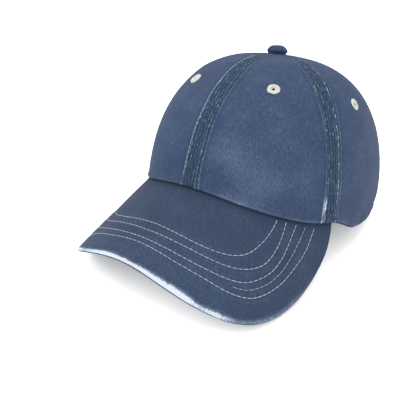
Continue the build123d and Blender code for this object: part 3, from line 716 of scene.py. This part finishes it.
def rows_at(run, distance, table):
    """Values from a table of rows, at distances along the line that it follows."""
    return np.stack([np.interp(distance, run, column) for column in table.T], -1)


def visor_place(u, v, face):
    """A cover of the visor: from under the crown out to the edge, and half way round the edge."""
    spread = 0.5 + 0.5 * np.sign(u - 0.5) * np.abs(2 * u - 1) ** 0.85
    distance = spread * EDGE_RUN[-1]
    edge, up, out = [rows_at(EDGE_RUN, distance, table) for table in (EDGE, EDGE_UP, EDGE_OUT)]
    root_turn = (2 * spread - 1) * VISOR_CORNER
    root = crown_face(root_turn, visor_joint(root_turn))
    root = root[:, :2] * (1 - 0.0024 / np.linalg.norm(root[:, :2], axis=1))[:, None]
    radius = VISOR_THICK / 2
    flat = np.clip(v / (1 - CURL_SHARE), 0, 1)
    inner = edge - out[:, :2] * radius
    plan = root + (inner - root) * flat[:, None]
    top, way = on_visor(plan, 0.0 if face > 0 else VISOR_THICK)
    curl = np.clip((v - (1 - CURL_SHARE)) / CURL_SHARE, 0, 1) * CURL_TURN
    round_edge = up * face * np.cos(curl)[:, None] + out * np.sin(curl)[:, None]
    base, _ = on_visor(inner, radius)
    curled = (v > 1 - CURL_SHARE)[:, None]
    points = np.where(curled, base + round_edge * radius, top)
    way = np.where(curled, round_edge, way * face)
    width = np.linalg.norm(inner - root, axis=1)
    return points, way, width * (1 - flat), width * flat, distance, curl


# Half of each row in plan, in mm from the crown's axis: across, and forward.
STITCH_ROWS = (
    (
        (0, 124.2), (14, 124), (27.6, 122.3), (39.5, 118.3), (48.5, 112), (54.1, 104),
        (56.4, 94.5), (56.9, 84.7), (55.8, 74.2), (54.5, 66),
    ),
    (
        (0, 129.6), (17, 128.6), (28.6, 126.6), (39.3, 123.6), (50, 118), (58.1, 110),
        (63, 100), (64, 90.8), (62.7, 80), (59.8, 69.7), (58.5, 63),
    ),
    (
        (0, 135), (17.7, 134.3), (31.5, 132), (43.1, 128.2), (53.5, 122.5), (61.6, 114.3),
        (66.8, 101.6), (68.2, 91), (67.4, 80.5), (64.3, 64), (62, 55),
    ),
    (
        (0, 138.4), (21.2, 138), (34.4, 135.7), (46.2, 132), (56.8, 127), (65.4, 119.1),
        (70.4, 109), (73.5, 96.1), (74.6, 83), (74.6, 67.7), (72, 54.1),
    ),
)
# The wearer's right was sewn this much wider.
RIGHT_WIDER = 1.05
SEWN_ROWS = 4


def stitch_row(stations):
    """A smooth row through its stations in plan, from the crown on one side to the crown on the other."""
    half = np.array(stations) * [0.001, -0.001]
    line = np.concatenate([half[::-1] * [-RIGHT_WIDER, 1], half[1:]])
    slope = np.gradient(line, axis=0)
    at = np.linspace(0, len(line) - 1.000001, 900)
    first = at.astype(int)
    s = (at - first)[:, None]
    return bend(s, line[first], slope[first], line[first + 1], slope[first + 1])


ROW_LINES = [stitch_row(stations) for stations in STITCH_ROWS]
EXTRA_ROW = (ROW_LINES[2] * 0.5 + ROW_LINES[3] * 0.5)[640:]


def row_distance(plan):
    """Distance in plan to the nearest row of stitching."""
    nearest = np.full(len(plan), 1.0)
    for line in ROW_LINES:
        for part in np.array_split(np.arange(len(plan)), 40):
            gap = np.linalg.norm(plan[part, None] - line[None], axis=2).min(1)
            nearest[part] = np.minimum(nearest[part], gap)
    return nearest


def visor_relief(points, rows):
    """How far the sewn cloth stands off the plain visor; rows is the distance to the nearest stitching."""
    relief = -0.00022 * bump(rows, 0.0009) + 0.00010 * bump(rows - 0.0024, 0.0014)
    relief += 0.00022 * ripple(points, 0.030, 21) + 0.00010 * ripple(points, 0.010, 22)
    near_side = bump(points[:, 0] - 0.060, 0.010) * bump(points[:, 1] + 0.125, 0.016)
    return relief + 0.00028 * near_side * np.sin((points[:, 0] - 0.6 * points[:, 1]) * 2 * pi / 0.0065)


def place_visor_top(u, v):
    points, way, from_edge, from_root, run, curl = visor_place(u, v, 1)
    rows = row_distance(points[:, :2])
    along = run / EDGE_RUN[-1]
    spot = np.stack([run, 0 * run, 0 * run], -1)
    patchy = ripple(spot, 0.018, 24) + 0.5 * ripple(spot, 0.006, 27)
    reach = 0.0014 * (1 + 0.5 * patchy)
    turned = VISOR_THICK / 2 * curl
    rubbed = np.clip(1 - (from_edge - turned) / np.maximum(reach + 0.0010, 0.0008), 0, 1) ** 1.6
    rubbed = rubbed * np.clip((radians(74) - curl) / radians(14), 0, 1)
    rubbed = rubbed * (0.62 + 0.16 * patchy)
    places, amounts = zip((0.02, 0), (0.10, 0.5), (0.22, 1), (0.60, 1), (0.74, 0.72), (0.85, 0.45), (0.90, 0))
    rubbed = rubbed * np.interp(along, places, amounts)
    faded = np.interp(along, (0.1, 0.25, 0.6, 0.8), (0, 1, 1, 0))
    wear = rubbed + 0.04 * bump(from_edge - 0.007, 0.006) * faded
    wear = wear + 0.05 * bump(rows - 0.0012, 0.0009)
    shade = 0.22 * bump(from_root, 0.0040) + 0.5 * bump(from_root, 0.0016) + 0.05 * bump(rows, 0.0009)
    shade += 0.30 * np.clip((curl - radians(68)) / radians(12), 0, 1)
    lifted = points + way * visor_relief(points, rows)[:, None]
    return lifted, np.stack([run, from_edge], -1), {"wear": wear, "shade": shade}


def place_visor_bottom(u, v):
    points, way, from_edge, from_root, run, curl = visor_place(u, v, -1)
    relief = 0.0002 * ripple(points, 0.030, 25)
    marks = {"shade": 0.1 * bump(from_edge, 0.003)}
    return points + way * relief[:, None], np.stack([run, from_edge], -1), marks


def fray(material):
    """Adds short pale fibres that lie square to the visor's edge where the cloth is rubbed."""
    tree = material.node_tree
    ramp = next(n for n in tree.nodes if n.bl_idname == "ShaderNodeValToRGB")
    tone = ramp.inputs[0].links[0].from_socket
    weave = value(tree, "ShaderNodeUVMap", uv_map="weave").outputs[0]
    fibre = grain(tree, mapped(tree, weave, (1100.0, 170.0, 1.0)), 1.0, 3.0, 0.7)
    strength = arithmetic(tree, "MULTIPLY", attribute(tree, "wear"), 1.3)
    extra = arithmetic(tree, "MULTIPLY", arithmetic(tree, "SUBTRACT", fibre, 0.5), strength)
    tree.links.new(arithmetic(tree, "ADD", tone, extra), ramp.inputs[0])


VISOR_INDIGO = {
    "deep": (0.010, 0.018, 0.036),
    "mid": (0.026, 0.041, 0.076),
    "pale": (0.085, 0.116, 0.170),
    "worn": (0.41, 0.46, 0.52),
}
visor_denim = denim_finish("visor_denim", VISOR_INDIGO, light=0.44, speckle=0.85, speckle_size=1300.0)
fray(visor_denim)
visor_top = cloth("denim_visor_top", 130, 330, place_visor_top, VISOR_CLOTH, offset=1.0)
visor_bottom = cloth("denim_visor_bottom", 90, 240, place_visor_bottom, VISOR_CLOTH)
for piece, node in ((visor_top, "visor_top_cover"), (visor_bottom, "visor_bottom_cover")):
    piece.data.materials.append(visor_denim)
    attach(piece, "crown")
    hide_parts(node)
board_plastic = plain_finish("board_plastic", (0.82, 0.82, 0.80), 0.5, bumps=0.00002, spread=0.03)
refinish(("visor_board",), board_plastic)

# ---------------------------------------------------------------------------------------------
# Stitching. Lockstitch, in blue thread down both sides of every crown seam and in pale thread
# round the visor in four rows, each stitch about 3 mm long and pulled into the cloth at its ends.
# ---------------------------------------------------------------------------------------------

FINE_FUZZ = {"bumps": 0.00005, "grain_size": 2500.0, "spread": 0.16}
seam_thread = plain_finish("seam_thread", (0.075, 0.105, 0.155), 0.7, **FINE_FUZZ)
pale_thread = plain_finish("pale_thread", (0.25, 0.30, 0.345), 0.7, **FINE_FUZZ)
STITCH_GAP = 0.00025


def sew(bm, line, up, seed, length=0.0030, width=0.00025, pale=0):
    """Lays stitches end to end along a line of points on the cloth."""
    rng = np.random.default_rng(seed)
    run = run_along(line)
    start = STITCH_GAP
    while start + length < run[-1]:
        first, last = rows_at(run, start, line), rows_at(run, start + length, line)
        lift = rows_at(run, start + length / 2, up)
        middle = Vector((first + last) / 2 + lift * 0.00010)
        way = Vector(last - first).normalized()
        side = Vector(lift).cross(way).normalized()
        facing = Matrix((way, side, way.cross(side))).transposed().to_4x4()
        size = Matrix.Diagonal((length / 2 * 1.08, width * rng.uniform(0.85, 1.1), width * 0.95, 1))
        place = Matrix.Translation(middle) @ facing @ size @ Matrix.Rotation(pi / 2, 4, "Y")
        made = bmesh.ops.create_uvsphere(bm, u_segments=6, v_segments=4, radius=1.0, matrix=place)
        for face in {f for vertex in made["verts"] for f in vertex.link_faces}:
            face.material_index = pale
        start += length + STITCH_GAP * rng.uniform(0.6, 1.6)


def seam_line(seam, offset):
    """Points on the crown beside a seam, from the rim to the button."""
    azimuth = np.full(240, seam)
    low = rim_height(azimuth) + 0.0012
    if abs(abs(seam) - pi) < 0.1:
        low = low * 0 + OPENING_HEIGHT + 0.0085
    height, _ = climb(azimuth, np.linspace(0, 0.93, 240), low)
    turn = azimuth
    for _ in range(8):
        points = crown_face(turn, height)
        reach = np.hypot(points[:, 0], points[:, 1])
        turn = azimuth + np.arcsin(np.clip(offset * narrowing(reach) / reach, -0.9, 0.9))
    points = crown_face(turn, height)
    way = outward(points, turn, height)
    relief = panel_relief(np.full(240, offset / BAND), points, points[:, 2] * 0 + 0.02)[0]
    keep = points[:, 2] > rim_height(turn)
    return settle(points + way * relief[:, None])[keep], settle(way)[keep]


threads = bmesh.new()
for number, seam in enumerate(SEAMS):
    for side in (-1, 1):
        line, up = seam_line(seam, side * BAND * 0.98)
        sew(threads, line, up, 10 * number + side + 2, pale=int(number == 0 and side < 0))
crown_rows = finished_mesh("crown_seam_stitches", threads, seam_thread)
crown_rows.data.materials.append(pale_thread)
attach(crown_rows, "crown")
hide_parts("crown_stitching")

threads = bmesh.new()
for number, line in enumerate(ROW_LINES + [EXTRA_ROW]):
    azimuth = np.arctan2(line[:, 0], -line[:, 1])
    height = visor_height(line[:, 0], line[:, 1])
    wall = crown_face(azimuth, np.maximum(height, 0.0))
    outside = np.hypot(line[:, 0], line[:, 1]) > np.hypot(wall[:, 0], wall[:, 1]) + 0.0004
    clear = line[outside & (line[:, 1] < CORNER[1])]
    points, way = on_visor(clear)
    whole = number < SEWN_ROWS
    rows = np.zeros(len(points)) if whole else row_distance(clear)
    points = points + way * visor_relief(points, rows)[:, None]
    width = 0.00028 if whole else 0.00018
    sew(threads, settle(points), settle(way), 100 + number, length=0.0032, width=width)
visor_rows = finished_mesh("visor_stitches", threads, pale_thread)
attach(visor_rows, "crown")
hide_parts("visor_stitching")

# ---------------------------------------------------------------------------------------------
# Inside of the crown: stiff net fused behind the front panels, woven tape over every seam,
# the turned-in hem, the cotton sweatband with foam behind its front, and a blank care label.
# ---------------------------------------------------------------------------------------------

HEM_DEPTH = 0.008
SWEATBAND_DEPTH = 0.032
BAND_INSET = (0.0036, 0.0068, 0.0084)
BAND_CLOTH = 0.0011
TAPE_WIDTH = 0.014
ON_PANEL = (DENIM + 0.0001,) * 3


def above_rim(lift):
    return lambda azimuth: rim_height(azimuth) + lift


def level(height):
    return lambda azimuth: height + 0 * azimuth


def lining_place(start, end, low, high, inset=ON_PANEL):
    """A patch of the crown's inner face between two azimuths and two heights."""

    def place(u, v):
        azimuth = start + (end - start) * u
        bottom, top = low(azimuth), high(azimuth)
        height = bottom + (top - bottom) * v
        points = crown_face(azimuth, height, inset)
        points = points + outward(points, azimuth, height, inset) * sway(points)[:, None]
        return points, np.stack([azimuth * 0.085, height], -1), {}

    return place


def lining(name, node, slot, size, place, thickness, finish):
    """A piece of cloth sewn to the crown, as a grid of this many rows and columns."""
    piece = cloth(name, *size, place, thickness)
    piece.data.materials.append(finish)
    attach(piece, "crown")
    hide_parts(node)
    return piece


COARSE_NET = {"bumps": 0.0002, "grain_size": 1400.0, "spread": 0.15}
TWILL_TAPE = {"bumps": 0.00012, "grain_size": 1600.0, "spread": 0.2}
SATIN = {"bumps": 0.00004, "grain_size": 2000.0, "spread": 0.04, "sheen": 0.2}
net_white = plain_finish("stiffener_net", (0.62, 0.62, 0.58), 0.9, **COARSE_NET)
tape_navy = plain_finish("seam_tape", (0.045, 0.060, 0.100), 0.85, **TWILL_TAPE)
NAVY = {
    "deep": (0.008, 0.012, 0.024),
    "mid": (0.018, 0.026, 0.046),
    "pale": (0.035, 0.048, 0.075),
    "worn": (0.09, 0.11, 0.15),
}
cotton_navy = denim_finish("sweatband_cotton", NAVY)
foam_white = plain_finish("foam", (0.75, 0.75, 0.72), 0.95, bumps=0.0002, grain_size=1200.0)
satin_white = plain_finish("label_satin", (0.78, 0.78, 0.76), 0.45, **SATIN)


def tape_place(seam, low, last=0.86):
    """A tape of even width up a seam, from this height and over this share of the way to the top."""
    inset = (DENIM + 0.00005,) * 3

    def place(u, v):
        azimuth = np.full_like(u, seam)
        height, run = climb(azimuth, v * last, np.full_like(u, low), inset)
        across = (u - 0.5) * TAPE_WIDTH
        turn = azimuth
        for _ in range(8):
            points = crown_face(turn, height, inset)
            reach = np.maximum(np.hypot(points[:, 0], points[:, 1]), 0.0075)
            turn = azimuth + np.arcsin(np.clip(across / reach, -0.95, 0.95))
        points = crown_face(turn, height, inset)
        points = points + outward(points, turn, height, inset) * sway(points)[:, None]
        return points, np.stack([across, run], -1), {}

    return place


# The back tapes are pressed flat, clear of the strap.
for row, seam, thickness in (("side", SIDE_SEAM, 0.0005), ("back", BACK_SEAM, 0.00025)):
    for side, sign in (("left", 1), ("right", -1)):
        low = float(rim_height(np.array([seam]))[0]) + HEM_DEPTH + 0.0035
        names = (f"tape_{row}_{side}", f"seam_tape_{row}_{side}", "seam_tape")
        tape = lining(*names, (120, 14), tape_place(sign * seam, low), thickness, tape_navy)


def centre_tape_place(u, v):
    """Up the front seam to the button, and down the back seam to the opening."""
    front = tape_place(0.0, 0.0378, last=0.995)(u, np.clip(2 * v, 0, 1))
    back = tape_place(pi, OPENING_HEIGHT + 0.0085, last=0.995)(1 - u, np.clip(2 - 2 * v, 0, 1))
    first = (v <= 0.5)[:, None]
    return np.where(first, front[0], back[0]), np.where(first, front[1], back[1]), {}


names = ("tape_centre", "seam_tape_centre", "seam_tape")
centre_tape = lining(*names, (240, 14), centre_tape_place, 0.0005, tape_navy)

margin = radians(6.5)
for side, sign in (("left", 1), ("right", -1)):
    start, end = sorted((sign * margin, sign * (SIDE_SEAM - margin)))
    names = (f"net_{side}", f"front_stiffener_{side}", "stiffener_net")
    place = lining_place(start, end, above_rim(0.0105), level(0.1065))
    net = lining(*names, (70, 50), place, 0.0004, net_white)
    punch_hole(net, EYELET_PLACES["front", side], NET_HOLE)

ends = radians(116.5)
place = lining_place(-ends, ends, rim_height, above_rim(HEM_DEPTH))
hem = lining("rim_hem_fold", "rim_hem", "denim", (10, 260), place, 0.0009, crown_denim)


def band_low(azimuth):
    """The sweatband's lower edge, which shows a little below the crown over the visor."""
    return rim_height(azimuth) - 0.0018 * (np.abs(azimuth) < VISOR_CORNER) + 0.0003


ends = radians(157.5)
names = ("cotton_sweatband", "sweatband", "sweatband_cotton")
place = lining_place(-ends, ends, band_low, above_rim(SWEATBAND_DEPTH), BAND_INSET)
sweatband = lining(*names, (30, 300), place, BAND_CLOTH, cotton_navy)

ends = radians(55)
foam_inset = tuple(inset - BAND_CLOTH for inset in BAND_INSET)
place = lining_place(-ends, ends, above_rim(0.0035), above_rim(0.0285), foam_inset)
foam = lining("foam_strip", "sweatband_foam", "foam", (16, 120), place, 0.0009, foam_white)

middle, half = (SIDE_SEAM + BACK_SEAM) / 2, radians(7.4)
names = ("care_label_blank", "care_label", "label_satin")
place = lining_place(middle - half, middle + half, level(0.0355), level(0.0628), (DENIM + 0.0003,) * 3)
label = lining(*names, (20, 14), place, 0.0003, satin_white)

# ---------------------------------------------------------------------------------------------
# Back of the cap: the opening's edge bound with tape, the denim strap and the tab that holds
# the metal buckle. The strap runs through the buckle and tucks in behind the panels.
# ---------------------------------------------------------------------------------------------

BINDING_WIDTH = 0.008
BINDING_LEG = 0.11
STRAP_RADIUS = 0.076
STRAP_Y = 0.0244736
STRAP = 0.0016
STRAP_LOW = 0.005
STRAP_WIDTH = 0.020


def back_face(x, z, inset):
    """The crown's back at this place across and this height."""
    share = np.clip(z / (CROWN_HEIGHT - np.minimum(inset, 0)), 0, 0.999)
    along = (BACK_REACH - inset) * taper("back", share)
    half = (HALF_WIDTH - inset) * taper("side", share)
    return np.stack([x, along * (1 - np.abs(x / half) ** SQUARENESS) ** (1 / SQUARENESS), z], -1)


def place_binding(u, v):
    """Tape folded over the edge: outside for v up to a half, and inside beyond it."""
    edge = (0.0004, -0.0006, 0.0004)
    grow = np.interp(v, (0, 0.46, 0.5, 0.54, 1), (BINDING_WIDTH, *edge, BINDING_WIDTH))
    over = (-0.0001, -0.0006, -0.0006, 0.0006, 0.0018, 0.0018, 0.0013)
    inset = np.interp(v, (0, 0.04, 0.46, 0.5, 0.54, 0.96, 1), over)
    half = OPENING_HALF_WIDTH + grow
    shoulder = OPENING_HEIGHT - OPENING_HALF_WIDTH
    turn = np.clip((u - BINDING_LEG) / (1 - 2 * BINDING_LEG), 0, 1) * pi
    foot = 0.0003 + (shoulder - 0.0003) * np.minimum(u, 1 - u) / BINDING_LEG
    on_leg = np.minimum(u, 1 - u) < BINDING_LEG
    z = np.where(on_leg, foot, shoulder + half * np.sin(turn))
    points = back_face(-half * np.cos(turn), z, inset)
    beat = 0.5 + 0.5 * np.sin(u * 2 * pi * 45)
    worn = 0.25 * bump(v - 0.5, 0.05) + 0.12 * beat * bump(v - 0.12, 0.05)
    return points, np.stack([u * 0.15, v * 0.02], -1), {"wear": worn, "shade": 0.1 + 0 * u}


names = ("opening_edge_binding", "opening_binding", "seam_tape")
binding = lining(*names, (26, 220), place_binding, 0.0004, crown_denim)


def strap_bend(angle, rise, z):
    """A point this far above the strap's outer face, at this angle round its arc."""
    reach = STRAP_RADIUS + rise
    return np.stack([reach * np.sin(angle), STRAP_Y + reach * np.cos(angle), z], -1)


def place_strap(u, v):
    low, high = radians(-55), radians(45)
    rounded = np.clip((u - 0.965) / 0.035, 0, 1)
    width = STRAP_WIDTH / 2 * (1 - 0.32 * rounded**2.5)
    angle = low + (high - low) * u
    z = STRAP_LOW + STRAP_WIDTH / 2 + (2 * v - 1) * width
    points = strap_bend(angle, -0.00012 * bump(np.abs(2 * v - 1) - 0.74, 0.06), z)
    side = np.abs(2 * v - 1)
    wear = 0.30 * bump(side - 1, 0.07) + 0.12 * bump(side - 0.80, 0.05)
    return points, np.stack([u * 0.13, v * 0.02], -1), {"wear": wear, "shade": 0.12 * bump(side - 0.74, 0.04)}


strap = cloth("denim_strap", 30, 200, place_strap, STRAP)
strap.data.materials.append(crown_denim)
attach(strap, "strap")
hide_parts("adjuster_strap")

TAB = 0.0011
TAB_TOP = -STRAP - 0.0003
BACK_TOP = TAB_TOP - TAB - 0.0003 - 0.0010 - 0.00015
TAB_BACK = BACK_TOP - TAB
# The tab's way, in degrees round the strap's arc and height above its face: in from the panel,
# round the buckle's bar and back underneath.
TAB_PATH = np.array([
    (62, TAB_TOP),
    (16.2, TAB_TOP),
    (15.4, TAB_TOP - 0.0004),
    (14.85, TAB_TOP - 0.0019),
    (15.4, TAB_BACK + 0.0004),
    (16.2, TAB_BACK),
    (26.5, TAB_BACK),
])


def place_tab(u, v):
    path = TAB_PATH * [radians(1), 1]
    run = run_along(path * [0.074, 1])
    angle, rise = rows_at(run, u * run[-1], path).T
    z = STRAP_LOW + 0.0004 + (STRAP_WIDTH - 0.0008) * v
    side = np.abs(2 * v - 1)
    marks = {"wear": 0.25 * bump(side - 1, 0.07)}
    return strap_bend(angle, rise, z), np.stack([u * 0.08, v * 0.02], -1), marks


tab = lining("buckle_tab_denim", "buckle_tab", "denim", (24, 160), place_tab, 0.0008, crown_denim)
refinish(("buckle_base", "buckle_lever", "buckle_pin"), antique_metal)

# ---------------------------------------------------------------------------------------------
# Studio: a white table and backdrop, soft light from above and both sides, and the camera.
# ---------------------------------------------------------------------------------------------

floor_mesh = bmesh.new()
ground = Matrix.Translation((0, 0, cad_box[0][2]))
bmesh.ops.create_grid(floor_mesh, x_segments=1, y_segments=1, size=6.0, matrix=ground)
floor_white = plain_finish("floor_white", (0.93, 0.93, 0.93), 0.9, spread=0.0)
glow = floor_white.node_tree.nodes["Principled BSDF"].inputs
glow["Emission Color"].default_value = (1.0, 1.0, 1.0, 1.0)
glow["Emission Strength"].default_value = 0.25
floor = finished_mesh("floor", floor_mesh, floor_white)

world = bpy.data.worlds.new("studio")
bpy.context.scene.world = world
world.use_nodes = True
sky = world.node_tree.nodes["Background"].inputs
sky["Color"].default_value = (1.0, 1.0, 1.0, 1.0)
sky["Strength"].default_value = 1.35


def soft_light(name, place, target, size, power):
    lamp = bpy.data.lights.new(name, "AREA")
    lamp.shape = "DISK"
    lamp.size = size
    lamp.energy = power
    fixture = bpy.data.objects.new(name, lamp)
    fixture.location = place
    fixture.rotation_euler = (Vector(target) - Vector(place)).to_track_quat("-Z", "Y").to_euler()
    bpy.context.collection.objects.link(fixture)


soft_light("key_light", (-0.9, -1.1, 1.3), (0, -0.02, 0.03), 1.1, 14.0)
soft_light("fill_light", (1.3, -0.7, 0.9), (0, 0, 0.03), 1.3, 6.5)
soft_light("top_light", (0.1, 0.5, 1.6), (0, 0, 0.03), 1.2, 9.0)

LENS = 40.216
CAMERA_AZIMUTH, CAMERA_RISE, CAMERA_ROLL = radians(36.244), radians(20.801), radians(3.777)
CAMERA_DISTANCE, CAMERA_SHIFT, CAMERA_LIFT = 0.38498, -0.04153, -0.01261
level_reach = cos(CAMERA_RISE)
back = Vector((sin(CAMERA_AZIMUTH) * level_reach, -cos(CAMERA_AZIMUTH) * level_reach, sin(CAMERA_RISE)))
right = Vector((cos(CAMERA_AZIMUTH), sin(CAMERA_AZIMUTH), 0))
up = back.cross(right)
stand = back * CAMERA_DISTANCE + right * CAMERA_SHIFT + up * CAMERA_LIFT
turned_right = right * cos(CAMERA_ROLL) + up * sin(CAMERA_ROLL)
turned_up = up * cos(CAMERA_ROLL) - right * sin(CAMERA_ROLL)
pose = Matrix((turned_right, turned_up, back)).transposed().to_4x4()
pose.translation = stand
lens = bpy.data.cameras.new("camera")
lens.lens = LENS
lens.sensor_width = 36
lens.clip_start = 0.01
camera = bpy.data.objects.new("camera", lens)
camera.matrix_world = Matrix.Rotation(-LEAN, 4, "X") @ pose
bpy.context.collection.objects.link(camera)
bpy.context.scene.camera = camera
bpy.context.scene.view_settings.view_transform = "Standard"
